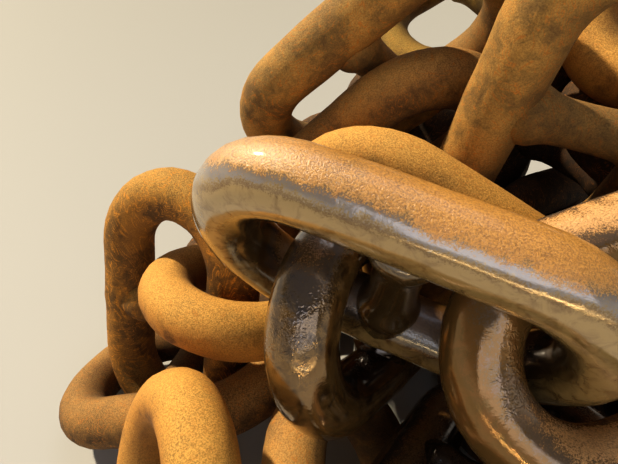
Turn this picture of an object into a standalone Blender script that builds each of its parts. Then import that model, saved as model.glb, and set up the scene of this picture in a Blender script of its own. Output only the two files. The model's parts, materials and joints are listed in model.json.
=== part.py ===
"""A heap of heavy iron chain: thick stud links lying crossed and threaded as they fell."""

import itertools
import math

import bmesh
import bpy
import numpy
from mathutils import Matrix, Vector
from mathutils.bvhtree import BVHTree

# Driving dimensions of a link, in metres
BAR = 0.120
LINK_LENGTH = 0.720
LINK_WIDTH = 0.432
STUD_WAIST = 0.082
STUD_FOOT = 0.112
STUD_FLARE = 0.075

# Facets of the solids
BAR_SIDES = 8
CROWN_STEPS = 7
STUD_SIDES = 8
# Edges bent by more than this, in degrees, stay sharp in the shading
SHARP_ANGLE = 60
# Spacing of the points along a link's middle line, by which links are kept apart
SPINE_STEP = 0.25 * BAR
STUD_SPINE_POINTS = 7

# Clear space left between links that touch, and the most that still counts as touching
GAP = 0.0003
TOUCH = 0.0007
# How far a corner may seem to dip below the floor by rounding
FLOOR_SLACK = 0.000001
# Links that would share space are parted in rounds, a share of the overlap at a time; in the
# returning rounds each link also keeps coming back a little toward its own place
PARTING_ROUNDS = 500
RETURNING_ROUNDS = 250
PARTING_SHARE = 0.45
# Space left by the parting: it allows for the spacing of the points along a link's middle line
PARTING_SPACE = 0.002
RETURNING_SHARE = 0.06
# How readily a link turns rather than shifts when it is parted from another
TURNING_ARM = 1.6 * BAR
# Steps by which links that touch nothing go to their neighbours, and the furthest they may go
COARSE_STEP = 0.02 * BAR
FINE_STEP = 0.00005
LONGEST_TRAVEL = 1.5 * BAR
GATHERING_ROUNDS = 80
MEETINGS_TRIED = 12

# Finishes: colour, roughness and metallic value
FINISHES = {
    "wet_rust": ((0.16, 0.085, 0.03), 0.12, 0.4),
    "sunlit_rust": ((0.52, 0.25, 0.06), 0.75, 0.1),
    "dry_rust": ((0.25, 0.12, 0.045), 0.85, 0.1),
    "ochre_rust": ((0.36, 0.24, 0.08), 0.8, 0.1),
    "dark_rust": ((0.09, 0.05, 0.025), 0.85, 0.1),
}

# Each link: name, finish, how readily it makes room for others (0 keeps its place), place of its
# middle in bar diameters (right, back, up), and the heading and rise of its long axis and its
# roll about that axis, in degrees. The outer links are laid first and the inner ones fill in.
OUTER_LINKS = [
    ("link_front_span", "wet_rust", 0.02, (1.05, 4.95, 6.05), (-24, -17, 112)),
    ("link_front_left_hook", "wet_rust", 0.1, (1.15, 5.9, 4.75), (18, -9, 70)),
    ("link_front_right_hook", "wet_rust", 0.1, (5.1, 4.2, 5.95), (12, 19, 60)),
    ("link_behind_span", "sunlit_rust", 0.1, (2.2, 6.4, 4.95), (-25, -20, 114)),
    ("link_upper_middle", "dry_rust", 0.1, (1.25, 8.35, 5.3), (-5, 49, 128)),
    ("link_upper_left", "sunlit_rust", 0.1, (1.4, 9.0, 7.2), (15, 50, 115)),
    ("link_top", "sunlit_rust", 0.1, (3.5, 6.5, 7.15), (-10, 70, -87)),
    ("link_left_arch", "sunlit_rust", 0.03, (-2.65, 6.95, 2.8), (68, 76, -14)),
    ("link_left_hooked", "sunlit_rust", 0.1, (-0.75, 8.0, 3.3), (43, 2, -6)),
    ("link_ground_left", "dry_rust", 0.1, (-2.7, 6.6, 1.2), (10, 18, -16)),
    ("link_front_arch", "sunlit_rust", 0.1, (-1.95, 2.5, 2.25), (92, 32, 122)),
    ("link_below_hook", "dark_rust", 1.0, (0.1, 4.1, 1.5), (85, 22, 60)),
    ("link_wet_leaning", "wet_rust", 1.0, (2.7, 3.6, 3.3), (58, 0, -10)),
    ("link_back_top", "ochre_rust", 0.2, (3.9, 11.9, 7.9), (34, 16, 15)),
]
FLOOR_LINKS = [
    ("link_floor_front", "dark_rust", 1.0, (3.4, 2.0, 0.5), (-5, 0, 0)),
    ("link_floor_front_right", "dark_rust", 1.0, (8.6, 3.0, 0.5), (20, 0, 0)),
    ("link_floor_right", "dark_rust", 1.0, (8.9, 6.8, 0.5), (95, 0, 0)),
    ("link_floor_back_right", "dark_rust", 1.0, (8.2, 11.6, 0.5), (135, 0, 0)),
    ("link_floor_back", "dark_rust", 1.0, (3.6, 12.8, 0.5), (5, 0, 0)),
    ("link_floor_back_left", "dark_rust", 1.0, (-0.6, 11.9, 0.5), (-20, 0, 0)),
    ("link_floor_middle", "dark_rust", 1.0, (5.0, 8.0, 0.5), (80, 0, 0)),
]
INNER_LINKS = [
    ("link_wet_low", "wet_rust", 1.0, (3.4, 3.2, 1.65), (30, 5, 10)),
    ("link_dark_upright", "dark_rust", 0.5, (5.4, 8.8, 5.2), (15, 75, 20)),
    ("link_dark_right", "dark_rust", 0.5, (7.2, 9.0, 6.3), (10, -10, 30)),
    ("link_under_right_hook", "dark_rust", 1.0, (6.0, 5.6, 1.7), (-30, 6, 10)),
    ("link_right_low", "dry_rust", 1.0, (8.2, 4.2, 2.2), (60, 15, 30)),
    ("link_right_middle", "dry_rust", 1.0, (8.2, 7.6, 3.2), (-20, 25, 80)),
    ("link_back_right_low", "dark_rust", 1.0, (6.4, 10.0, 3.2), (20, -20, 70)),
    ("link_heart", "dark_rust", 1.0, (3.4, 9.8, 2.2), (30, 5, 10)),
    ("link_right_high", "dry_rust", 1.0, (8.0, 6.2, 5.2), (40, 10, 40)),
    ("link_back_right_high", "dry_rust", 1.0, (7.0, 11.2, 5.6), (-40, 10, 60)),
    ("link_back_middle", "dark_rust", 1.0, (3.8, 11.2, 5.0), (20, -15, 40)),
    ("link_back_left_middle", "dark_rust", 1.0, (0.9, 11.2, 4.2), (-20, 20, 20)),
    ("link_top_right", "sunlit_rust", 1.0, (7.0, 8.2, 8.8), (-30, 25, 50)),
]


def clear_scene():
    """Empty the file of its objects."""
    for old in list(bpy.data.objects):
        bpy.data.objects.remove(old, do_unlink=True)


def make_collection(name):
    """A new collection under the scene's own."""
    collection = bpy.data.collections.new(name)
    bpy.context.scene.collection.children.link(collection)
    return collection


def make_finish(name, colour, roughness, metallic):
    """A Principled material."""
    material = bpy.data.materials.new(name)
    material.use_nodes = True
    shader = material.node_tree.nodes["Principled BSDF"]
    shader.inputs["Base Color"].default_value = (*colour, 1.0)
    shader.inputs["Roughness"].default_value = roughness
    shader.inputs["Metallic"].default_value = metallic
    material.diffuse_color = (*colour, 1.0)
    return material


def ring_points():
    """Centre line of a link's bar: two straight legs joined by two half rounds."""
    crown_radius = (LINK_WIDTH - BAR) / 2
    half_leg = LINK_LENGTH / 2 - BAR / 2 - crown_radius
    points = []
    for side in (1, -1):
        for step in range(CROWN_STEPS + 1):
            angle = math.pi * (step / CROWN_STEPS - 0.5)
            across = crown_radius * math.sin(angle)
            along = half_leg + crown_radius * math.cos(angle)
            points.append(Vector((side * along, side * across, 0.0)))
        points.append(Vector((0.0, side * crown_radius, 0.0)))
    return points


def make_ring(growth, collection):
    """The bent and welded bar, as a mesh object; growth makes it thicker all round."""
    curve = bpy.data.curves.new("ring_curve", "CURVE")
    curve.dimensions = "3D"
    curve.bevel_depth = BAR / 2 / math.sqrt(math.cos(math.pi / BAR_SIDES)) + growth
    curve.bevel_resolution = BAR_SIDES // 2 - 2
    points = ring_points()
    spline = curve.splines.new("POLY")
    spline.points.add(len(points) - 1)
    for target, point in zip(spline.points, points):
        target.co = (*point, 1.0)
        target.tilt = math.pi / BAR_SIDES
    spline.use_cyclic_u = True
    curve_object = bpy.data.objects.new("ring_curve", curve)
    collection.objects.link(curve_object)
    bpy.context.view_layer.update()
    evaluated = curve_object.evaluated_get(bpy.context.evaluated_depsgraph_get())
    mesh = bpy.data.meshes.new_from_object(evaluated)
    ring = bpy.data.objects.new("ring", mesh)
    ring.matrix_world = curve_object.matrix_world
    collection.objects.link(ring)
    bpy.data.objects.remove(curve_object, do_unlink=True)
    return ring


def make_stud(growth, collection):
    """The stud across the middle of a link, flared where it grips the two legs."""
    reach = LINK_WIDTH / 2 - BAR / 2
    grip = reach - BAR / 4
    flare_start = grip - STUD_FLARE
    bm = bmesh.new()
    radii = [(grip, STUD_FOOT / 2 + growth), (flare_start, STUD_WAIST / 2 + growth)]
    profile = [(0.0, grip)] + [(r, h) for h, r in radii]
    profile += [(r, -h) for h, r in reversed(radii)] + [(0.0, -grip)]
    verts = [bm.verts.new((radius, height, 0.0)) for radius, height in profile]
    for first, second in zip(verts, verts[1:]):
        bm.edges.new((first, second))
    mesh = bpy.data.meshes.new("stud")
    bm.to_mesh(mesh)
    bm.free()
    stud = bpy.data.objects.new("stud", mesh)
    collection.objects.link(stud)
    screw = stud.modifiers.new("turn", "SCREW")
    screw.axis = "Y"
    screw.steps = STUD_SIDES
    screw.render_steps = STUD_SIDES
    screw.use_merge_vertices = True
    screw.merge_threshold = 0.00005
    stud.hide_render = True
    stud.display_type = "WIRE"
    return stud


def make_link_mesh(growth, collection):
    """The ring and its stud as one body, grown all round by the given amount."""
    ring = make_ring(growth, collection)
    stud = make_stud(growth, collection)
    union = ring.modifiers.new("stud", "BOOLEAN")
    union.operation = "UNION"
    union.solver = "EXACT"
    union.object = stud
    bpy.context.view_layer.update()
    evaluated = ring.evaluated_get(bpy.context.evaluated_depsgraph_get())
    mesh = bpy.data.meshes.new_from_object(evaluated)
    bpy.data.objects.remove(ring, do_unlink=True)
    bpy.data.objects.remove(stud, do_unlink=True)
    mesh.name = "stud_link"
    mesh.materials.clear()
    return mesh


def placement(middle, turns):
    """World matrix of a link from its middle, in bar diameters, and its heading, rise and roll."""
    heading, rise, roll = (math.radians(turn) for turn in turns)
    turned = Matrix.Rotation(heading, 4, "Z") @ Matrix.Rotation(-rise, 4, "Y")
    turned = turned @ Matrix.Rotation(roll, 4, "X")
    return Matrix.Translation(BAR * Vector(middle)) @ turned


class LinkForm:
    """A link's corners and faces, its outline grown a little, and the points along its middle."""

    def __init__(self, link_mesh, feeler_mesh, reach_mesh):
        self.corners = corner_array(link_mesh)
        self.shape = (self.corners, face_list(link_mesh))
        self.feeler_shape = (corner_array(feeler_mesh), face_list(feeler_mesh))
        self.reach_shape = (corner_array(reach_mesh), face_list(reach_mesh))
        self.spine, self.spine_radii = spine_points()

    def lowest(self, matrix):
        """Height of the link's lowest corner."""
        return moved(self.corners, matrix)[:, 2].min()

    def tree(self, matrix):
        """Search tree of the link at a place."""
        return search_tree(self.shape, matrix)

    def feeler(self, matrix):
        """The same, thicker all round by the clear space that links keep."""
        return search_tree(self.feeler_shape, matrix)

    def reach(self, matrix):
        """The same, thicker all round by the space within which links count as touching."""
        return search_tree(self.reach_shape, matrix)


def search_tree(shape, matrix):
    """Search tree of corners and faces at a place."""
    corners, faces = shape
    return BVHTree.FromPolygons(moved(corners, matrix).tolist(), faces)


def corner_array(mesh):
    """Corners of a mesh, one row each."""
    return numpy.array([vertex.co[:] for vertex in mesh.vertices])


def face_list(mesh):
    """Faces of a mesh as tuples of corner numbers."""
    return [tuple(polygon.vertices) for polygon in mesh.polygons]


def moved(points, matrix):
    """Rows of points taken to a place."""
    values = numpy.array(matrix)
    return points @ values[:3, :3].T + values[:3, 3]


def spine_points():
    """Points along the middle of a link's bar and stud, and the bar's or stud's radius at each."""
    corners = ring_points()
    outer_radius = BAR / 2 / math.sqrt(math.cos(math.pi / BAR_SIDES))
    points = []
    for start, end in zip(corners, corners[1:] + corners[:1]):
        pieces = max(1, round((end - start).length / SPINE_STEP))
        points += [start.lerp(end, piece / pieces) for piece in range(pieces)]
    radii = [outer_radius] * len(points)
    reach = LINK_WIDTH / 2 - BAR
    for across in numpy.linspace(-reach, reach, STUD_SPINE_POINTS):
        points.append(Vector((0.0, across, 0.0)))
        radii.append(STUD_FOOT / 2)
    return numpy.array([point[:] for point in points]), numpy.array(radii)


def contact(form, one, other):
    """Where two links come closest: a point between them, the way from one to the other, the space."""
    first = moved(form.spine, one)
    second = moved(form.spine, other)
    apart = second[None, :, :] - first[:, None, :]
    distances = numpy.sqrt((apart ** 2).sum(axis=2))
    spaces = distances - form.spine_radii[:, None] - form.spine_radii[None, :]
    row, column = numpy.unravel_index(spaces.argmin(), spaces.shape)
    way = Vector(apart[row, column]) / distances[row, column]
    middle = Vector(first[row] + second[column]) / 2
    return middle, way, spaces[row, column]


def level_on_floor(form, matrix):
    """Set a link down so that its lowest corners are on the floor."""
    return Matrix.Translation((0.0, 0.0, -form.lowest(matrix))) @ matrix


def nudge(matrix, point, push, flat):
    """Shift and turn a link as if it were pushed at a point; a flat one stays level on the floor."""
    arm = point - matrix.translation
    turn = arm.cross(push) / TURNING_ARM ** 2
    if flat:
        push = Vector((push.x, push.y, 0.0))
        turn = Vector((0.0, 0.0, turn.z))
    share = 1.0 / (1.0 + (arm.length / TURNING_ARM) ** 2)
    turned = Matrix.Identity(4)
    if turn.length > 0.0:
        turned = Matrix.Rotation(turn.length * share, 4, turn)
    middle = matrix.translation
    return Matrix.Translation(middle + push * share) @ turned @ Matrix.Translation(-middle) @ matrix


def part_links(form, chosen, gives, flats, returning_rounds=RETURNING_ROUNDS):
    """Part the links that would share space, keeping each as near its chosen place as it can be."""
    places = list(chosen)
    pairs = [pair for pair in itertools.combinations(range(len(places)), 2)
             if gives[pair[0]] + gives[pair[1]] > 0.0]
    for round_number in range(PARTING_ROUNDS):
        if round_number < returning_rounds:
            places = [matrix.lerp(own, RETURNING_SHARE) for matrix, own in zip(places, chosen)]
        crowded = False
        for one, other in pairs:
            if (places[one].translation - places[other].translation).length > LINK_LENGTH + BAR:
                continue
            point, way, space = contact(form, places[one], places[other])
            short = PARTING_SPACE - space
            if short <= FINE_STEP:
                continue
            crowded = True
            step = way * (short * 2 * PARTING_SHARE / (gives[one] + gives[other]))
            places[one] = nudge(places[one], point, -step * gives[one], flats[one])
            places[other] = nudge(places[other], point, step * gives[other], flats[other])
        for index, matrix in enumerate(places):
            sunk = -form.lowest(matrix)
            if sunk > 0.0 and gives[index] > 0.0 and not flats[index]:
                places[index] = Matrix.Translation((0.0, 0.0, sunk)) @ matrix
        if not crowded and round_number >= returning_rounds:
            break
    return places


def touching_groups(form, places):
    """Sets of links that touch one another, directly or through others."""
    trees = [form.tree(matrix) for matrix in places]
    groups = []
    for index, matrix in enumerate(places):
        reach = form.reach(matrix)
        joined = {index}
        apart = []
        for group in groups:
            if any(reach.overlap(trees[member]) for member in group):
                joined |= group
            else:
                apart.append(group)
        groups = apart + [joined]
    return groups


def gather(form, places, flats):
    """Bring separate groups up to their nearest neighbours until all the links touch."""
    floor_links = {index for index, flat in enumerate(flats) if flat}
    tried = []
    for _ in range(GATHERING_ROUNDS):
        groups = [group for group in touching_groups(form, places) if group not in tried]
        if not groups or len(groups[0]) == len(places):
            break
        free_groups = [group for group in groups if not group & floor_links]
        group = min(free_groups or groups, key=len)
        tried.append(group)
        places = join_group(form, places, group, bool(free_groups))
    return places


def join_group(form, places, group, may_rise):
    """Move a group of links the short way to where it touches another link."""
    rest = set(range(len(places))) - group
    others = [form.tree(places[index]) for index in rest]
    meetings = sorted((contact(form, places[one], places[other]) for one in group for other in rest),
                      key=lambda found: found[2])
    for _, way, _ in meetings[:MEETINGS_TRIED]:
        level_way = Vector((way.x, way.y, 0.0)).normalized()
        for direction in (way, level_way) if may_rise else (level_way,):
            distance = travel(form, [places[index] for index in group], direction, others)
            shift = Matrix.Translation(direction * distance)
            if any(form.reach(shift @ places[index]).overlap(tree) for index in group for tree in others):
                return [shift @ matrix if index in group else matrix
                        for index, matrix in enumerate(places)]
    return places


def is_clear(form, matrix, others):
    """Whether a link keeps its gap to the others and stays above the floor."""
    if form.lowest(matrix) < -FLOOR_SLACK:
        return False
    feeler = form.feeler(matrix)
    return not any(feeler.overlap(tree) for tree in others)


def travel(form, group, way, others):
    """How far links can go along a way together before one touches the others or the floor."""
    def blocked_at(distance):
        shift = Matrix.Translation(way * distance)
        return any(not is_clear(form, shift @ matrix, others) for matrix in group)

    clear = 0.0
    blocked = COARSE_STEP
    while blocked < LONGEST_TRAVEL and not blocked_at(blocked):
        clear = blocked
        blocked += COARSE_STEP
    while blocked - clear > FINE_STEP:
        halfway = (clear + blocked) / 2
        if blocked_at(halfway):
            blocked = halfway
        else:
            clear = halfway
    return clear


def centre_heap(form, places):
    """Move the whole heap so that the origin is on the floor below the middle of its outline."""
    corners = numpy.concatenate([moved(form.corners, matrix) for matrix in places])
    low = corners.min(axis=0)
    high = corners.max(axis=0)
    shift = Matrix.Translation((-(low[0] + high[0]) / 2, -(low[1] + high[1]) / 2, -low[2]))
    return [shift @ matrix for matrix in places]


def build():
    """Build the whole heap."""
    clear_scene()
    collection = make_collection("heap_of_iron_chain")
    cutters = make_collection("cutters")
    finishes = {name: make_finish(name, *values) for name, values in FINISHES.items()}
    link_mesh = make_link_mesh(0.0, cutters)
    link_mesh.materials.append(None)
    link_mesh.shade_smooth()
    link_mesh.set_sharp_from_angle(angle=math.radians(SHARP_ANGLE))
    feeler_mesh = make_link_mesh(GAP, cutters)
    reach_mesh = make_link_mesh(TOUCH, cutters)
    form = LinkForm(link_mesh, feeler_mesh, reach_mesh)
    laid = []
    places = []
    for group, flat in ((OUTER_LINKS, False), (FLOOR_LINKS, True), (INNER_LINKS, False)):
        gives = [0.0] * len(places) + [give for _, _, give, _, _ in group]
        flats = [False] * len(places) + [flat] * len(group)
        chosen = [placement(middle, turns) for _, _, _, middle, turns in group]
        if flat:
            chosen = [level_on_floor(form, matrix) for matrix in chosen]
        places = part_links(form, places + chosen, gives, flats)
        laid += group
    flats = [link in FLOOR_LINKS for link in laid]
    places = part_links(form, places, [1.0] * len(places), flats, returning_rounds=0)
    places = gather(form, places, flats)
    places = centre_heap(form, places)
    for (name, finish, _, _, _), matrix in zip(laid, places):
        link = bpy.data.objects.new(name, link_mesh)
        collection.objects.link(link)
        link.matrix_world = matrix
        link.material_slots[0].link = "OBJECT"
        link.material_slots[0].material = finishes[finish]
    bpy.context.view_layer.update()


if __name__ == "__main__":
    build()
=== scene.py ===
"""Looks for the heap of iron chain: stud links in wet and dry rust, on a pale floor."""

import json
import logging
import math
from collections.abc import Iterable
from dataclasses import dataclass, field
from enum import Enum
from typing import Any, ClassVar

import bmesh
import bpy
import numpy
from mathutils import Matrix, Vector, noise

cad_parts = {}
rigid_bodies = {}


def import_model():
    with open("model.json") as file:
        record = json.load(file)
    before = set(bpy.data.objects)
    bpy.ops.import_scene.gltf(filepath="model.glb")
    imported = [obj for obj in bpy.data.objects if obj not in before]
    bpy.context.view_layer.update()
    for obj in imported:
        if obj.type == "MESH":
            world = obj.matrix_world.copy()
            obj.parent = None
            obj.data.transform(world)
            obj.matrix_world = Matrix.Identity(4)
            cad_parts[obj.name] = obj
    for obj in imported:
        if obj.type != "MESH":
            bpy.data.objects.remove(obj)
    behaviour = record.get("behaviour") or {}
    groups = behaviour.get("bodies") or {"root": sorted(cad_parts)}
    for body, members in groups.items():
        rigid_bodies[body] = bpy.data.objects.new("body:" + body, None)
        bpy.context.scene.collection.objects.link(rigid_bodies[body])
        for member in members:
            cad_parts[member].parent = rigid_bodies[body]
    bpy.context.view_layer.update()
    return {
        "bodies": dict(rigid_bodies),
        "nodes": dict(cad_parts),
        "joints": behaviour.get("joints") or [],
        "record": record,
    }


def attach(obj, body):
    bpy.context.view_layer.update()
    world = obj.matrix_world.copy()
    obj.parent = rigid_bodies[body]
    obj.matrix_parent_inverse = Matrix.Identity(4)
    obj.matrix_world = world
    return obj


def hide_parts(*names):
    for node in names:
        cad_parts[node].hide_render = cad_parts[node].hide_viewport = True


LOG = logging.getLogger("iron_chain_heap")

# What each point of a link carries for its material: its place in the link's own frame, and how
# far it lies on the window's side of the bar, from -1 outside to 1 inside.
OWN_PLACE = "own_place"
INNER_SIDE = "inner_side"

# Points that are nearer than this, in metres, are one point.
MERGE_DISTANCE = 0.0001

Point = tuple[float, float, float]
Colour = tuple[float, float, float, float]

# Node types and settings that are used again and again.
SEPARATE = "ShaderNodeSeparateXYZ"
NOISE = "ShaderNodeTexNoise"
MATHS = "ShaderNodeMath"
STEPS = "ShaderNodeMapRange"
MIX = "ShaderNodeMixRGB"
BUMP = "ShaderNodeBump"
TIMES = {"operation": "MULTIPLY"}
TIMES_PLUS = {"operation": "MULTIPLY_ADD"}
SMOOTH = {"interpolation_type": "SMOOTHSTEP"}


def linear_colour(code: str) -> Colour:
    """Turn an sRGB hex value into a linear colour.

    Args:
        code: Six hex digits, with or without a leading hash.

    Returns:
        Linear red, green, blue and an alpha of one.
    """
    digits = code.lstrip("#")
    channels = [int(digits[index:index + 2], 16) / 255.0 for index in (0, 2, 4)]
    # The sRGB curve: straight up to its knee and a power above it.
    red, green, blue = (
        value / 12.92 if value <= 0.04045 else ((value + 0.055) / 1.055) ** 2.4
        for value in channels
    )
    return red, green, blue, 1.0


def add_node(
    tree: bpy.types.NodeTree,
    kind: str,
    settings: dict[str, Any] | None = None,
    links: dict[Any, Any] | None = None,
    output: str | int = 0,
) -> bpy.types.NodeSocket | None:
    """Add a node with its settings and links.

    Args:
        tree: The material's node tree.
        kind: The node's type name.
        settings: Values of the node's own properties, by name.
        links: For each input, by name or number, a socket to link or a value to set.
        output: The output that is wanted, by name or number.

    Returns:
        That output of the new node, or nothing where it has none.
    """
    node = tree.nodes.new(kind)
    for name, value in (settings or {}).items():
        setattr(node, name, value)
    for name, source in (links or {}).items():
        if isinstance(source, bpy.types.NodeSocket):
            tree.links.new(source, node.inputs[name])
        else:
            node.inputs[name].default_value = source
    return node.outputs[output] if node.outputs else None


@dataclass(frozen=True)
class Step:
    """A smooth change of one value, while another goes from start to end."""

    start: float
    end: float
    first: float = 0.0
    last: float = 1.0

    def over(self, value: bpy.types.NodeSocket) -> dict[str, Any]:
        """What a map range node needs to take this step as the value changes."""
        return {
            "Value": value, "From Min": self.start, "From Max": self.end,
            "To Min": self.first, "To Max": self.last,
        }


@dataclass(frozen=True)
class Clouds:
    """A cloudy pattern: the size of its clouds, its finer layers and how far it swirls."""

    size_mm: float
    layers: float
    layer_strength: float
    swirl: float

    def at(self, place: bpy.types.NodeSocket) -> dict[str, Any]:
        """What a noise node needs to draw this pattern, whose scale is clouds in a metre."""
        return {
            "Vector": place, "Scale": 1000.0 / self.size_mm, "Detail": self.layers,
            "Roughness": self.layer_strength, "Distortion": self.swirl,
        }


class Reach(Enum):
    """How far the water reaches along a link."""

    WHOLE_LINK = "whole link"
    LEFT_END = "left end"


@dataclass(frozen=True)
class WaterFilm:
    """Water on rust: it soaks the sides, and lies on them as a film that mirrors what is around.

    Heights are those of a surface's direction: 1 faces up, 0 faces sideways, -1 faces down. The
    sides are khaki, partly as a painted reflection of the ground. The film's frayed edge carries a
    pale band, partly silt and partly a painted reflection of the sky, and below it the soaked rust
    is stained dark.
    """

    reach: Reach = Reach.WHOLE_LINK
    height: float = 0.58
    edge_width: float = 0.1
    # Water's own index is 1.33, which mirrors too little beside the photograph, so a share of
    # metal and a higher index raise the film's mirror until it matches.
    mirror: float = 0.35
    index: float = 1.9
    roughness: float = 0.12
    edge_roughness: float = 0.36
    # The film's second, sharper glint, and how far grit still stands out under it.
    gloss: float = 0.5
    gloss_roughness: float = 0.1
    grit_left: float = 0.06
    # How strongly beads of water stand on the splashed patches.
    splashed: float = 0.0
    # The soaked rust, whose khaki is partly a painted reflection of the ground, and its stains,
    # and painted shade on the side that faces down.
    soaked: str = "#ad9160"
    stain_share: float = 0.5
    painted_underside_shade: str = "#2c1a0b"
    painted_shade_below: Step = Step(-0.85, -0.5, 1.0, 0.0)
    # A pale band below the film's edge, partly silt and partly a painted reflection of the sky,
    # and a dark tide line below that band.
    silt: str = "#8f8c92"
    pale_band_share: float = 0.7
    pale_band_from_edge: tuple[float, float] = (-0.2, -0.02)
    tide_share: float = 0.6
    tide_from_edge: tuple[float, float] = (-0.36, -0.26)
    band_width: float = 0.05
    # Where the film ends along a link that is wet at its left end only, from the link's middle.
    end_m: float = 0.045
    end_width_m: float = 0.004


@dataclass(frozen=True)
class RustFinish:
    """Rust on hot-rolled, forged steel bar: layered oxide scale with powdery bloom on top.

    The oxide is a dielectric, so it isn't metallic, and where it is dry its powder scatters the
    light. Its colours go from the pits, over the body of the scale and its bloom, to the powder
    that lies on top, and the hair-thin streaks are bright rust where water ran and dried.
    """

    name: str
    slot: str
    pit: str
    body: str
    bloom: str
    powder: str
    bloom_share: float
    powder_share: float
    streak_share: float
    streak: str = "#bd762a"
    streak_lines: float = 34.0
    # Painted shade round the window and on the stud: its colour and how far it covers.
    inner: str = "#2a1a0c"
    inner_shade_share: float = 0.45
    roughness: float = 0.82
    water: WaterFilm | None = None
    # Patches are about as wide as the bar, flakes of scale about as wide as a thumb.
    patches: Clouds = Clouds(110.0, 4.0, 0.55, 0.4)
    flakes: Clouds = Clouds(26.0, 5.0, 0.65, 0.8)
    # Real grit is a few tenths of a millimetre, too fine to show, so it is drawn ten times coarser.
    grit: Clouds = Clouds(2.8, 3.0, 0.75, 0.0)
    swirls: Clouds = Clouds(190.0, 3.0, 0.5, 1.6)
    beads: Clouds = Clouds(9.0, 1.0, 0.5, 1.2)


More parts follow.
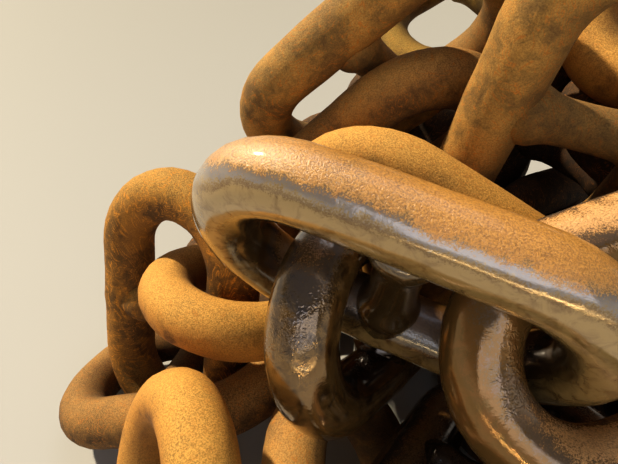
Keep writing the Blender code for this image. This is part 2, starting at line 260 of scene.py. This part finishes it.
@dataclass
class RustPainter:
    """Builds the material of one finish."""

    # Where each layer starts and ends as the pattern that it follows rises.
    FLAKES_IN_CLOUDS: ClassVar[float] = 0.4
    PATCHES_IN_CLOUDS: ClassVar[float] = 0.6
    SCALE_OVER_PITS: ClassVar[Step] = Step(0.28, 0.58)
    LEAST_BLOOM_EDGE: ClassVar[float] = 0.66
    BLOOM_EDGE_FALL: ClassVar[float] = 0.3
    BLOOM_EDGE_WIDTH: ClassVar[float] = 0.1
    POWDER_ON_TOP: ClassVar[Step] = Step(0.1, 0.95)
    POWDER_ON_GRIT: ClassVar[Step] = Step(0.36, 0.6, 0.45)
    GRIT_SHADE: ClassVar[Step] = Step(0.3, 0.66, 0.68, 1.16)
    STREAK_LINE: ClassVar[tuple[float, float]] = (0.02, 0.2)
    STREAKS_ON_FLAKES: ClassVar[Step] = Step(0.4, 0.58)
    STREAKS_ON_GRIT: ClassVar[Step] = Step(0.34, 0.52)
    STAINS_ON_FLAKES: ClassVar[tuple[float, float]] = (0.44, 0.7)
    INNER_SIDE_FRAY: ClassVar[float] = 0.9
    INNER_SIDE_EDGE: ClassVar[tuple[float, float]] = (0.45, 1.25)
    WET_END_FRAY_M: ClassVar[float] = 0.05
    SPLASHES_ON_PATCHES: ClassVar[tuple[float, float]] = (0.5, 0.6)
    # How much each pattern frays the water's edge, and what they add to it on the whole.
    PATCHES_IN_LEVEL: ClassVar[float] = 0.5
    FLAKES_IN_LEVEL: ClassVar[float] = 0.35
    GRIT_IN_LEVEL: ClassVar[float] = 0.5
    ADDED_TO_LEVEL: ClassVar[float] = 0.68
    # Depth in metres of the hammering, the scale, the water's beads and the grit.
    HAMMERING_DEPTH: ClassVar[float] = 0.006
    SCALE_DEPTH: ClassVar[float] = 0.0018
    BEAD_DEPTH: ClassVar[float] = 0.003
    GRIT_DEPTH: ClassVar[float] = 0.0012
    DRY_STRENGTH: ClassVar[float] = 0.5
    WET_STRENGTHS: ClassVar[tuple[float, float]] = (0.2, 0.3)

    finish: RustFinish
    tree: bpy.types.NodeTree = field(init=False)
    place: bpy.types.NodeSocket = field(init=False)
    facing_up: bpy.types.NodeSocket = field(init=False)
    patches: bpy.types.NodeSocket = field(init=False)
    flakes: bpy.types.NodeSocket = field(init=False)
    grit: bpy.types.NodeSocket = field(init=False)

    def make_material(self) -> bpy.types.Material:
        """Build the finish's material.

        Returns:
            The new material.
        """
        material = bpy.data.materials.new(self.finish.name)
        material.use_nodes = True
        self.tree = material.node_tree
        self.tree.nodes.clear()
        self.draw_patterns()
        # The dry colour, with painted shade on the inner side.
        dry = self.with_painted_inner_shade(self.dry_colour())
        inputs: dict[str, Any] = {"Base Color": dry, "Roughness": self.finish.roughness}
        if self.finish.water is None:
            inputs["Normal"] = self.relief(1.0)
        else:
            inputs = self.wet_inputs(dry, self.finish.water)
        surface = add_node(self.tree, "ShaderNodeBsdfPrincipled", {}, inputs)
        add_node(self.tree, "ShaderNodeOutputMaterial", {}, {"Surface": surface})
        return material

    def draw_patterns(self) -> None:
        """Draw the patterns that several layers share."""
        self.place = add_node(self.tree, "ShaderNodeTexCoord", output="Object")
        normal = add_node(self.tree, "ShaderNodeNewGeometry", output="Normal")
        self.facing_up = add_node(self.tree, SEPARATE, {}, {0: normal}, "Z")
        self.patches = add_node(self.tree, NOISE, {}, self.finish.patches.at(self.place))
        self.flakes = add_node(self.tree, NOISE, {}, self.finish.flakes.at(self.place))
        self.grit = add_node(self.tree, NOISE, {}, self.finish.grit.at(self.place))

    def product_of(
        self, factors: Iterable[bpy.types.NodeSocket | float],
    ) -> bpy.types.NodeSocket:
        """Multiply shares, so that a layer shows only where all of them let it.

        Args:
            factors: The shares.

        Returns:
            Their product.
        """
        first, *others = factors
        for other in others:
            first = add_node(self.tree, MATHS, TIMES, {0: first, 1: other})
        return first

    def layered(
        self, colour: bpy.types.NodeSocket | Colour,
        layers: Iterable[tuple[bpy.types.NodeSocket | float, str]],
    ) -> bpy.types.NodeSocket | Colour:
        """Lay colours one after another over a first one.

        Args:
            colour: The lowest colour.
            layers: For each layer, how far it covers and its colour as a hex value.

        Returns:
            The combined colour.
        """
        for share, code in layers:
            colour = add_node(
                self.tree, MIX, {},
                {"Fac": share, "Color1": colour, "Color2": linear_colour(code)},
            )
        return colour

    def dry_colour(self) -> bpy.types.NodeSocket:
        """Colour of the dry oxide: pits, scale, bloom, powder on top, streaks and grit.

        Returns:
            The colour.
        """
        finish, tree = self.finish, self.tree
        flaky = add_node(tree, MATHS, TIMES, {0: self.flakes, 1: self.FLAKES_IN_CLOUDS})
        cloudy = add_node(
            tree, MATHS, TIMES_PLUS, {0: self.patches, 1: self.PATCHES_IN_CLOUDS, 2: flaky},
        )
        scale = add_node(tree, STEPS, SMOOTH, self.SCALE_OVER_PITS.over(cloudy))
        edge = self.LEAST_BLOOM_EDGE - self.BLOOM_EDGE_FALL * finish.bloom_share
        bloom_edge = Step(edge - self.BLOOM_EDGE_WIDTH, edge + self.BLOOM_EDGE_WIDTH)
        bloom = add_node(tree, STEPS, SMOOTH, bloom_edge.over(cloudy))
        powder = self.product_of((
            add_node(tree, STEPS, SMOOTH, self.POWDER_ON_TOP.over(self.facing_up)),
            finish.powder_share,
            add_node(tree, STEPS, SMOOTH, self.POWDER_ON_GRIT.over(self.grit)),
        ))
        rust = self.layered(linear_colour(finish.pit), (
            (scale, finish.body), (bloom, finish.bloom), (powder, finish.powder),
            (self.streaks(), finish.streak),
        ))
        shade = add_node(tree, STEPS, SMOOTH, self.GRIT_SHADE.over(self.grit))
        return add_node(
            tree, MIX, {"blend_type": "MULTIPLY"}, {"Fac": 1.0, "Color1": rust, "Color2": shade},
        )

    def streaks(self) -> bpy.types.NodeSocket:
        """Hair-thin curled streaks: lines of equal height in a swirl, gathered and broken up.

        Returns:
            Above 0 on a streak, 0 beside it.
        """
        finish, tree = self.finish, self.tree
        swirl = add_node(tree, NOISE, {}, finish.swirls.at(self.place))
        contours = add_node(tree, MATHS, TIMES, {0: swirl, 1: finish.streak_lines})
        lines = add_node(tree, MATHS, {"operation": "PINGPONG"}, {0: contours, 1: 0.5})
        thin = Step(*self.STREAK_LINE, finish.streak_share, 0.0)
        return self.product_of((
            add_node(tree, STEPS, SMOOTH, thin.over(lines)),
            add_node(tree, STEPS, SMOOTH, self.STREAKS_ON_FLAKES.over(self.flakes)),
            add_node(tree, STEPS, SMOOTH, self.STREAKS_ON_GRIT.over(self.grit)),
        ))

    def with_painted_inner_shade(self, colour: bpy.types.NodeSocket) -> bpy.types.NodeSocket:
        """Paint shade round the window and on the stud, where the link's own bar keeps light off.

        Args:
            colour: The colour elsewhere.

        Returns:
            The colour with painted shade on the inner side, whose edge the flakes fray.
        """
        inner = add_node(
            self.tree, "ShaderNodeAttribute", {"attribute_name": INNER_SIDE}, output="Fac",
        )
        frayed = add_node(
            self.tree, MATHS, TIMES_PLUS, {0: self.flakes, 1: self.INNER_SIDE_FRAY, 2: inner},
        )
        edge = Step(*self.INNER_SIDE_EDGE, 0.0, self.finish.inner_shade_share)
        share = add_node(self.tree, STEPS, SMOOTH, edge.over(frayed))
        return self.layered(colour, ((share, self.finish.inner),))

    def wet_inputs(self, dry: bpy.types.NodeSocket, water: WaterFilm) -> dict[str, Any]:
        """What the surface shader needs where water lies on the rust.

        A number that is the same all over is set and not linked. The coat stands for the second
        glint of a thick film.

        Args:
            dry: The dry colour.
            water: The water.

        Returns:
            The shader's inputs.
        """
        tree = self.tree
        level = self.water_level()
        film = self.film_share(level, water)
        soaked = self.with_painted_inner_shade(self.film_colour_with_painted_light(level, water))
        mirror = Step(0.0, 1.0, 0.0, water.mirror)
        roughness = Step(0.0, 1.0, water.edge_roughness, water.roughness)
        grit_left = Step(0.0, 1.0, 1.0, water.grit_left)
        inputs: dict[str, Any] = {
            "Base Color": add_node(tree, MIX, {}, {"Fac": film, "Color1": dry, "Color2": soaked}),
            "Metallic": add_node(tree, STEPS, SMOOTH, mirror.over(film)),
            "Roughness": add_node(tree, STEPS, SMOOTH, roughness.over(film)),
            "Normal": self.relief(add_node(tree, STEPS, SMOOTH, grit_left.over(film))),
        }
        if water.reach is Reach.WHOLE_LINK:
            inputs["IOR"] = water.index
            inputs["Coat Weight"] = water.gloss
            inputs["Coat Roughness"] = water.gloss_roughness
        return inputs

    def water_level(self) -> bpy.types.NodeSocket:
        """The upward part of the surface's direction, frayed by the patterns of the rust.

        Returns:
            About 1 on top, 0 on a side, -1 below.
        """
        level = self.facing_up
        for pattern, share in (
            (self.patches, self.PATCHES_IN_LEVEL), (self.flakes, self.FLAKES_IN_LEVEL),
            (self.grit, self.GRIT_IN_LEVEL),
        ):
            level = add_node(self.tree, MATHS, TIMES_PLUS, {0: pattern, 1: share, 2: level})
        return add_node(
            self.tree, MATHS, TIMES_PLUS, {0: level, 1: 1.0, 2: -self.ADDED_TO_LEVEL},
        )

    def film_share(
        self, level: bpy.types.NodeSocket, water: WaterFilm,
    ) -> bpy.types.NodeSocket:
        """Where a smooth film covers the rust: on the sides, while on top grit breaks it.

        Args:
            level: The frayed upward part of the surface's direction.
            water: The water.

        Returns:
            1 under the film, 0 where dry.
        """
        edge = Step(water.height - water.edge_width, water.height + water.edge_width, 1.0, 0.0)
        film = add_node(self.tree, STEPS, SMOOTH, edge.over(level))
        if water.reach is Reach.WHOLE_LINK:
            return film
        own = add_node(
            self.tree, "ShaderNodeAttribute", {"attribute_name": OWN_PLACE}, output="Vector",
        )
        along = add_node(self.tree, SEPARATE, {}, {0: own}, "X")
        ragged = add_node(
            self.tree, MATHS, TIMES_PLUS, {0: self.flakes, 1: self.WET_END_FRAY_M, 2: along},
        )
        end = Step(water.end_m, water.end_m + water.end_width_m, 1.0, 0.0)
        return self.product_of((film, add_node(self.tree, STEPS, SMOOTH, end.over(ragged))))

    def film_colour_with_painted_light(
        self, level: bpy.types.NodeSocket, water: WaterFilm,
    ) -> bpy.types.NodeSocket:
        """Colour under the film: khaki with stains, the khaki partly a painted reflection of the
        ground, painted shade below, and along its frayed edge a pale band, partly silt and partly a
        painted reflection of the sky.

        Args:
            level: The frayed upward part of the surface's direction.
            water: The water.

        Returns:
            The colour.
        """
        stains = Step(*self.STAINS_ON_FLAKES, 0.0, water.stain_share)
        layers = [
            (add_node(self.tree, STEPS, SMOOTH, stains.over(self.flakes)), self.finish.pit),
            # Painted shade on the faces that turn down.
            (add_node(self.tree, STEPS, SMOOTH, water.painted_shade_below.over(level)),
             water.painted_underside_shade),
        ]
        # A dark tide line, and a pale band that is partly silt and partly a painted reflection of
        # the sky.
        for (low, high), share, code in (
            (water.tide_from_edge, water.tide_share, self.finish.pit),
            (water.pale_band_from_edge, water.pale_band_share, water.silt),
        ):
            shares: list[bpy.types.NodeSocket | float] = []
            for middle, first, last in ((low, 0.0, 1.0), (high, 1.0, 0.0)):
                middle += water.height
                side = Step(middle - water.band_width, middle + water.band_width, first, last)
                shares.append(add_node(self.tree, STEPS, SMOOTH, side.over(level)))
            layers.append((self.product_of((*shares, share)), code))
        # Under all layers, a khaki that is partly a painted reflection of the ground.
        return self.layered(linear_colour(water.soaked), layers)

    def relief(self, grit_share: bpy.types.NodeSocket | float) -> bpy.types.NodeSocket:
        """Surface relief of the hammered bar, the scale and the grit, which water smooths.

        Args:
            grit_share: How far the grit stands out.

        Returns:
            The bumped normal.
        """
        water = self.finish.water
        hammered = scaled = self.DRY_STRENGTH
        if water is not None:
            hammered, scaled = self.WET_STRENGTHS
        layers = [
            (self.patches, self.HAMMERING_DEPTH, hammered),
            (self.flakes, self.SCALE_DEPTH, scaled),
        ]
        if water is not None and water.splashed:
            beads = add_node(self.tree, NOISE, {}, self.finish.beads.at(self.place))
            splashes = Step(*self.SPLASHES_ON_PATCHES, 0.0, water.splashed)
            strength = add_node(self.tree, STEPS, SMOOTH, splashes.over(self.patches))
            layers.append((beads, self.BEAD_DEPTH, strength))
        layers.append((self.grit, self.GRIT_DEPTH, grit_share))
        bumped: dict[str, Any] = {}
        for pattern, depth_m, strength in layers:
            inputs = {"Height": pattern, "Distance": depth_m, "Strength": strength, **bumped}
            bumped = {"Normal": add_node(self.tree, BUMP, {}, inputs)}
        return bumped["Normal"]


# Forged steel, rusted outdoors, with water running over it: the top is orange powder, and the
# sides are khaki, partly a painted reflection of the ground, under a film that mirrors, with a
# ragged pale band between, partly silt and partly a painted reflection of the sky.
WET_RUST = RustFinish(
    "wet_forged_rust", "wet_rust", "#5e3a16", "#9a6428", "#be8038", "#dca24e",
    bloom_share=0.7, powder_share=0.8, streak_share=0.15, inner_shade_share=0.85,
    water=WaterFilm(roughness=0.1),
)
# The same rust soaked right round: nearly black-brown, with sharp sky-pale glints where it is
# splashed.
SOAKED_RUST = RustFinish(
    "soaked_forged_rust", "wet_rust", "#2c190a", "#5c3a1a", "#7a5227", "#9c7036",
    bloom_share=0.5, powder_share=0.4, streak_share=0.15, inner_shade_share=0.9,
    water=WaterFilm(
        height=0.9, mirror=0.6, roughness=0.07, splashed=0.8, soaked="#86683e",
        pale_band_share=0.3, stain_share=0.75,
    ),
)
# One link is wet at its left end only: dark and glossy there, dull sandy orange to the right,
# made pale in part as painted sunlight.
HALF_WET_RUST = RustFinish(
    "half_wet_forged_rust", "wet_rust", "#9a6e42", "#cc945a", "#dea86c", "#e6b67e",
    bloom_share=0.6, powder_share=0.5, streak_share=0.15, inner_shade_share=0.2,
    water=WaterFilm(
        Reach.LEFT_END, height=0.85, mirror=0.5, roughness=0.08, splashed=0.6, soaked="#86683e",
        pale_band_share=0.3, stain_share=0.6,
    ),
)
# Dry powder rust in the sun: even, dull and the brightest orange of the heap.
SUNLIT_RUST = RustFinish(
    "orange_powder_rust", "sunlit_rust", "#664218", "#9c6626", "#c08436", "#e2ae58",
    bloom_share=0.7, powder_share=0.8, streak_share=0.5,
)
# Brown scale from which the powder was washed in curls: dark, with bright orange swirls.
SWIRLED_RUST = RustFinish(
    "swirled_powder_rust", "sunlit_rust", "#4c3416", "#7c5420", "#a8742c", "#dca850",
    bloom_share=0.5, powder_share=0.75, streak_share=1.0, streak="#d8902e", streak_lines=26.0,
)
# Yellower powder rust with dark patches and fine orange streaks where water dried.
STREAKED_RUST = RustFinish(
    "streaked_powder_rust", "sunlit_rust", "#6c502c", "#a07c40", "#bc8e48", "#d8aa60",
    bloom_share=0.45, powder_share=0.4, streak_share=0.85,
)
# Dry scale with little powder left: middling brown, with orange streaks.
DRY_RUST = RustFinish(
    "brown_scale_rust", "dry_rust", "#644a28", "#966e3a", "#b48644", "#d0a05c",
    bloom_share=0.4, powder_share=0.45, streak_share=0.7,
)
# Scale on the link that lies on the ground: darker brown as painted shade of the links above,
# powdery only on top.
SHADED_GROUND_RUST = RustFinish(
    "shaded_ground_rust", "dry_rust", "#36240f", "#5f4422", "#85602e", "#c49450",
    bloom_share=0.4, powder_share=0.6, streak_share=0.7,
)
# Hydrated, yellow iron oxide: dull ochre.
OCHRE_RUST = RustFinish(
    "ochre_scale_rust", "ochre_rust", "#5e4a22", "#8e7032", "#aa883a", "#c09a4a",
    bloom_share=0.5, powder_share=0.45, streak_share=0.35,
)
# Links inside the heap, which the sun doesn't reach: nearly black, with brown patches, rust with
# the heap's shade painted in.
DARK_RUST = RustFinish(
    "dark_scale_rust", "dark_rust", "#170f08", "#38240f", "#553616", "#75501f",
    bloom_share=0.3, powder_share=0.4, streak_share=0.5,
)


@dataclass
class StudLink:
    """One stud link: a round bar bent into an oval and welded, with a stud across its middle.

    Sizes are in metres. In its own frame the link is long along X, wide along Y and thin along Z.
    """

    solid: bpy.types.Object
    finish: RustFinish
    bar: float = 0.120
    length: float = 0.720
    width: float = 0.432
    bar_sides: int = 32
    crown_steps: int = 20
    leg_steps: int = 6
    stud_sides: int = 24
    # The stud's end lies this share of the bar's thickness inside the leg's outer side.
    stud_grip: float = 0.7
    stud_end_radius: float = 0.0560
    # From beside the leg to the waist: the way along the stud and the radius there.
    stud_flare: tuple[tuple[float, float], ...] = (
        (-0.092, 0.0555), (-0.082, 0.0520), (-0.070, 0.0470),
        (-0.055, 0.0430), (-0.035, 0.0412), (0.0, 0.0406),
    )
    weld_height: float = 0.0016
    weld_reach: float = 0.011
    dent_height: float = 0.0016
    dent_size: float = 0.075
    pock_height: float = 0.0007
    pock_size: float = 0.022

    def build(self) -> bpy.types.Object:
        """Make the link where its plain solid lies.

        Returns:
            The link's object.
        """
        bm = bmesh.new()
        self.add_ring(bm)
        self.add_stud(bm)
        bmesh.ops.recalc_face_normals(bm, faces=bm.faces)
        self.keep_own_place(bm)
        bmesh.ops.transform(bm, matrix=self.place(), verts=bm.verts)
        self.weather(bm)
        mesh = bpy.data.meshes.new(self.piece_name())
        bm.to_mesh(mesh)
        bm.free()
        mesh.shade_smooth()
        link = bpy.data.objects.new(self.piece_name(), mesh)
        bpy.context.scene.collection.objects.link(link)
        return link

    def dress(self, link: bpy.types.Object, material: bpy.types.Material) -> None:
        """Give the link its finish and tie it to the solid that it stands for.

        Args:
            link: The link's object.
            material: The finish's material.
        """
        link.data.materials.append(material)
        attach(link, "root")
        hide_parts(self.solid.name)

    def piece_name(self) -> str:
        """Name of the detailed link."""
        return "round_" + self.solid.name

    def crown_radius(self) -> float:
        """Radius of the crown's middle line."""
        return (self.width - self.bar) / 2

    def half_leg(self) -> float:
        """Length of a straight leg from the link's middle."""
        return self.length / 2 - self.bar / 2 - self.crown_radius()

    def add_ring(self, bm: bmesh.types.BMesh) -> None:
        """Bend the bar: a half oval is drawn out and spun, and mirrored for the other half.

        Args:
            bm: The mesh in the making.
        """
        circle = bmesh.ops.create_circle(
            bm, cap_ends=False, segments=self.bar_sides, radius=self.bar / 2,
        )["verts"]
        bmesh.ops.rotate(
            bm, cent=(0, 0, 0), matrix=Matrix.Rotation(math.pi / 2, 3, "Y"), verts=circle,
        )
        bmesh.ops.translate(bm, vec=(0, self.crown_radius(), 0), verts=circle)
        loop = list({edge for vert in circle for edge in vert.link_edges})
        step = self.half_leg() / self.leg_steps
        loop = self.draw_out(bm, loop, Vector((step, 0, 0)), self.leg_steps)
        spun = bmesh.ops.spin(
            bm, geom=loop + list({vert for edge in loop for vert in edge.verts}),
            cent=(self.half_leg(), 0, 0), axis=(0, 0, -1), angle=math.pi,
            steps=self.crown_steps, use_duplicate=False,
        )["geom_last"]
        loop = [item for item in spun if isinstance(item, bmesh.types.BMEdge)]
        self.draw_out(bm, loop, Vector((-step, 0, 0)), self.leg_steps)
        bmesh.ops.mirror(
            bm, geom=bm.verts[:] + bm.edges[:] + bm.faces[:], matrix=Matrix.Identity(4),
            merge_dist=MERGE_DISTANCE, axis="X",
        )
        bmesh.ops.remove_doubles(bm, verts=bm.verts, dist=MERGE_DISTANCE)

    def add_stud(self, bm: bmesh.types.BMesh) -> None:
        """Draw the stud across the link, flared where it grips the legs.

        Args:
            bm: The mesh in the making.
        """
        end = self.width / 2 - self.bar * self.stud_grip
        profile = [(-end, self.stud_end_radius), *self.stud_flare]
        profile += [(-height, radius) for height, radius in reversed(profile[:-1])]
        start = bmesh.ops.create_circle(
            bm, cap_ends=True, segments=self.stud_sides, radius=profile[0][1],
        )["verts"]
        bmesh.ops.rotate(
            bm, cent=(0, 0, 0), matrix=Matrix.Rotation(math.pi / 2, 3, "X"), verts=start,
        )
        bmesh.ops.translate(bm, vec=(0, profile[0][0], 0), verts=start)
        loop = [edge for edge in {edge for vert in start for edge in vert.link_edges}
                if len(edge.link_faces) == 1]
        for (height, radius), (last_height, last_radius) in zip(profile[1:], profile):
            loop = self.draw_out(bm, loop, Vector((0, height - last_height, 0)), 1)
            verts = list({vert for edge in loop for vert in edge.verts})
            bmesh.ops.scale(
                bm, vec=(radius / last_radius, 1, radius / last_radius), verts=verts,
            )
        bmesh.ops.holes_fill(bm, edges=loop, sides=0)

    def draw_out(
        self, bm: bmesh.types.BMesh, loop: list[bmesh.types.BMEdge], step: Vector, steps: int,
    ) -> list[bmesh.types.BMEdge]:
        """Extrude a loop of edges in equal steps.

        Args:
            bm: The mesh in the making.
            loop: The edges at the open end.
            step: The way and length of one step.
            steps: Number of steps.

        Returns:
            The edges at the new end.
        """
        for _ in range(steps):
            made = bmesh.ops.extrude_edge_only(bm, edges=loop)["geom"]
            verts = [item for item in made if isinstance(item, bmesh.types.BMVert)]
            bmesh.ops.translate(bm, vec=step, verts=verts)
            ends = set(verts)
            loop = [item for item in made if isinstance(item, bmesh.types.BMEdge)
                    and set(item.verts) <= ends]
        return loop

    def keep_own_place(self, bm: bmesh.types.BMesh) -> None:
        """Store each point's place in the link and how far it is on the window's side.

        Args:
            bm: The mesh in the making.
        """
        own = bm.verts.layers.float_vector.new(OWN_PLACE)
        inner = bm.verts.layers.float.new(INNER_SIDE)
        for vert in bm.verts:
            vert[own] = vert.co
            past_leg = max(abs(vert.co.x) - self.half_leg(), 0.0)
            from_middle = math.hypot(past_leg, vert.co.y)
            vert[inner] = (self.crown_radius() - from_middle) / (self.bar / 2)

    def weather(self, bm: bmesh.types.BMesh) -> None:
        """Dent and pock the surface a little, and raise the trimmed weld on one leg.

        Args:
            bm: The mesh in the making.
        """
        layer = bm.verts.layers.float_vector[OWN_PLACE]
        bm.normal_update()
        moves = []
        for vert in bm.verts:
            own = vert[layer]
            rise = self.dent_height * noise.noise(vert.co / self.dent_size)
            rise += self.pock_height * noise.noise(vert.co / self.pock_size)
            if own.y < -self.width / 2 + self.bar and abs(own.x) < self.weld_reach:
                rise += self.weld_height
            moves.append(vert.normal * rise)
        for vert, move in zip(bm.verts, moves):
            vert.co += move

    def place(self) -> Matrix:
        """Where the plain solid lies, from its middle and its long, wide and thin directions.

        Each triangle makes a tetrahedron with a rough middle. Their volumes, middles and second
        moments add up to those of the solid, whose main directions are the link's.

        Returns:
            The matrix that takes the link's own frame there.
        """
        mesh = self.solid.data
        mesh.calc_loop_triangles()
        points = numpy.array([vertex.co[:] for vertex in mesh.vertices])
        corners = numpy.array([triangle.vertices[:] for triangle in mesh.loop_triangles])
        rough_middle = points.mean(axis=0)
        a, b, c = (points[corners[:, index]] - rough_middle for index in range(3))
        volumes = numpy.einsum("ij,ij->i", a, numpy.cross(b, c)) / 6
        volume = volumes.sum()
        total = a + b + c
        middle = (volumes[:, None] * total).sum(axis=0) / 4 / volume
        spread = sum(
            numpy.einsum("i,ij,ik->jk", volumes, part, part) for part in (a, b, c, total)
        ) / 20 / volume - numpy.outer(middle, middle)
        _, ways = numpy.linalg.eigh(spread)
        along, across = Vector(ways[:, 2]), Vector(ways[:, 1])
        if along.x < 0:
            along.negate()
        if across.z < 0:
            across.negate()
        turned = Matrix((along, across, along.cross(across))).transposed()
        return Matrix.Translation(Vector(rough_middle + middle)) @ turned.to_4x4()


@dataclass
class ChainHeap:
    """All links of the heap, each in its own finish or in the one that its solid's slot names."""

    finishes: dict[str, RustFinish] = field(default_factory=lambda: {
        finish.slot: finish
        for finish in (WET_RUST, SUNLIT_RUST, DRY_RUST, OCHRE_RUST, DARK_RUST)
    })
    own_finishes: dict[str, RustFinish] = field(default_factory=lambda: {
        "link_front_right_hook": HALF_WET_RUST,
        "link_front_left_hook": SOAKED_RUST,
        "link_wet_leaning": SOAKED_RUST,
        "link_wet_low": SOAKED_RUST,
        "link_below_hook": DRY_RUST,
        "link_top": STREAKED_RUST,
        "link_upper_left": STREAKED_RUST,
        "link_left_arch": SWIRLED_RUST,
        "link_ground_left": SHADED_GROUND_RUST,
    })

    def build(self, frame: dict[str, Any]) -> None:
        """Make and dress every link.

        Args:
            frame: The plain solids and their record.
        """
        materials: dict[str, bpy.types.Material] = {}
        for subpart in frame["record"]["subparts"]:
            node = subpart["node"]
            finish = self.own_finishes.get(node, self.finishes[subpart["material_slot"]])
            if finish.name not in materials:
                materials[finish.name] = RustPainter(finish).make_material()
            stud_link = StudLink(frame["nodes"][node], finish)
            link = stud_link.build()
            stud_link.dress(link, materials[finish.name])
            LOG.info("%s in %s", link.name, finish.name)


@dataclass(frozen=True)
class SoftLight:
    """A flat soft light: where it hangs and faces, its sides in metres and its power in watts."""

    name: str
    place: Point
    target: Point
    sides: tuple[float, float]
    power: float
    colour: str
    fan_out_degrees: float = 180.0

    def hang(self) -> None:
        """Hang the light and face it to its target."""
        light = bpy.data.lights.new(self.name, "AREA")
        light.shape = "RECTANGLE"
        light.size, light.size_y = self.sides
        light.spread = math.radians(self.fan_out_degrees)
        light.energy = self.power
        light.color = linear_colour(self.colour)[:3]
        lamp = bpy.data.objects.new(self.name, light)
        lamp.location = self.place
        facing = Vector(self.target) - Vector(self.place)
        lamp.rotation_euler = facing.to_track_quat("-Z", "Y").to_euler()
        bpy.context.scene.collection.objects.link(lamp)


@dataclass
class Studio:
    """Plain pale floor, soft studio light and the camera."""

    floor_side: float = 14.0
    floor_colour: str = "#b5b4b1"
    floor_roughness: float = 0.7
    camera_place: Point = (-0.407, -0.838, 1.26)
    camera_pitch: float = 37.0
    lens_mm: float = 29.13
    sensor_mm: float = 36.0
    horizon_colour: str = "#c4c1b8"
    haze: tuple[Step, str] = (Step(0.15, 0.4), "#726c5e")
    zenith: tuple[Step, str] = (Step(0.35, 0.75), "#434a56")
    world_strength: float = 1.0
    key_toward: Point = (-0.58, 0.42, 0.70)
    key_strength: float = 4.6
    key_softness: float = 2.5
    key_colour: str = "#fff0d2"
    look: str = "Medium High Contrast"
    # One from above, one from the front, and a thin warm strip that draws glints along the film.
    lights: tuple[SoftLight, ...] = (
        SoftLight("top", (0.3, 0.9, 4.4), (0.0, 0.0, 0.5), (2.4, 2.4), 22.0, "#e4ecff"),
        SoftLight("front", (0.2, -3.9, 2.4), (0.0, 0.0, 0.7), (4.5, 1.7), 42.0, "#e2e8f4"),
        SoftLight("low", (0.2, -3.6, 0.5), (0.0, 0.0, 0.7), (4.5, 0.05), 4.0, "#ffe2a6", 80.0),
    )

    def build(self) -> None:
        """Set up the floor, the light and the camera."""
        self.add_floor()
        self.add_world()
        self.add_key()
        for light in self.lights:
            light.hang()
        self.add_camera()

    def add_floor(self) -> None:
        """Lay the floor, painted plain and dull, so that it only takes soft shadows."""
        bm = bmesh.new()
        bmesh.ops.create_grid(bm, x_segments=1, y_segments=1, size=self.floor_side / 2)
        mesh = bpy.data.meshes.new("studio_floor")
        bm.to_mesh(mesh)
        bm.free()
        floor = bpy.data.objects.new("studio_floor", mesh)
        bpy.context.scene.collection.objects.link(floor)
        material = bpy.data.materials.new("painted_floor")
        material.use_nodes = True
        shader = material.node_tree.nodes["Principled BSDF"]
        shader.inputs["Base Color"].default_value = linear_colour(self.floor_colour)
        shader.inputs["Roughness"].default_value = self.floor_roughness
        mesh.materials.append(material)

    def add_world(self) -> None:
        """Light everything from all round: cool overhead and warm and pale near the horizon."""
        world = bpy.data.worlds.new("studio_air")
        world.use_nodes = True
        tree = world.node_tree
        direction = add_node(tree, "ShaderNodeTexCoord", output="Generated")
        height = add_node(tree, SEPARATE, {}, {0: direction}, "Z")
        air = linear_colour(self.horizon_colour)
        for climb, colour in (self.haze, self.zenith):
            share = add_node(tree, STEPS, SMOOTH, climb.over(height))
            air = add_node(
                tree, MIX, {}, {"Fac": share, "Color1": air, "Color2": linear_colour(colour)},
            )
        background = tree.nodes["Background"]
        tree.links.new(air, background.inputs["Color"])
        background.inputs["Strength"].default_value = self.world_strength
        bpy.context.scene.world = world
        bpy.context.scene.view_settings.view_transform = "Standard"
        bpy.context.scene.view_settings.look = self.look

    def add_key(self) -> None:
        """Hang the far key light, whose light comes from one side over the whole floor."""
        light = bpy.data.lights.new("key", "SUN")
        light.energy = self.key_strength
        light.angle = math.radians(self.key_softness)
        light.color = linear_colour(self.key_colour)[:3]
        lamp = bpy.data.objects.new("key", light)
        lamp.rotation_euler = Vector(self.key_toward).to_track_quat("Z", "Y").to_euler()
        bpy.context.scene.collection.objects.link(lamp)

    def add_camera(self) -> None:
        """Stand the camera at the photograph's height, looking down at its angle."""
        camera = bpy.data.cameras.new("camera")
        camera.sensor_width = self.sensor_mm
        camera.lens = self.lens_mm
        view = bpy.data.objects.new("camera", camera)
        view.location = self.camera_place
        view.rotation_euler = (math.radians(90.0 - self.camera_pitch), 0.0, 0.0)
        bpy.context.scene.collection.objects.link(view)
        bpy.context.scene.camera = view


def main() -> None:
    """Build the heap and its studio."""
    logging.basicConfig(level=logging.INFO, format="%(message)s")
    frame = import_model()
    ChainHeap().build(frame)
    Studio().build()
    LOG.info("sizes written")


if __name__ == "__main__":
    main()
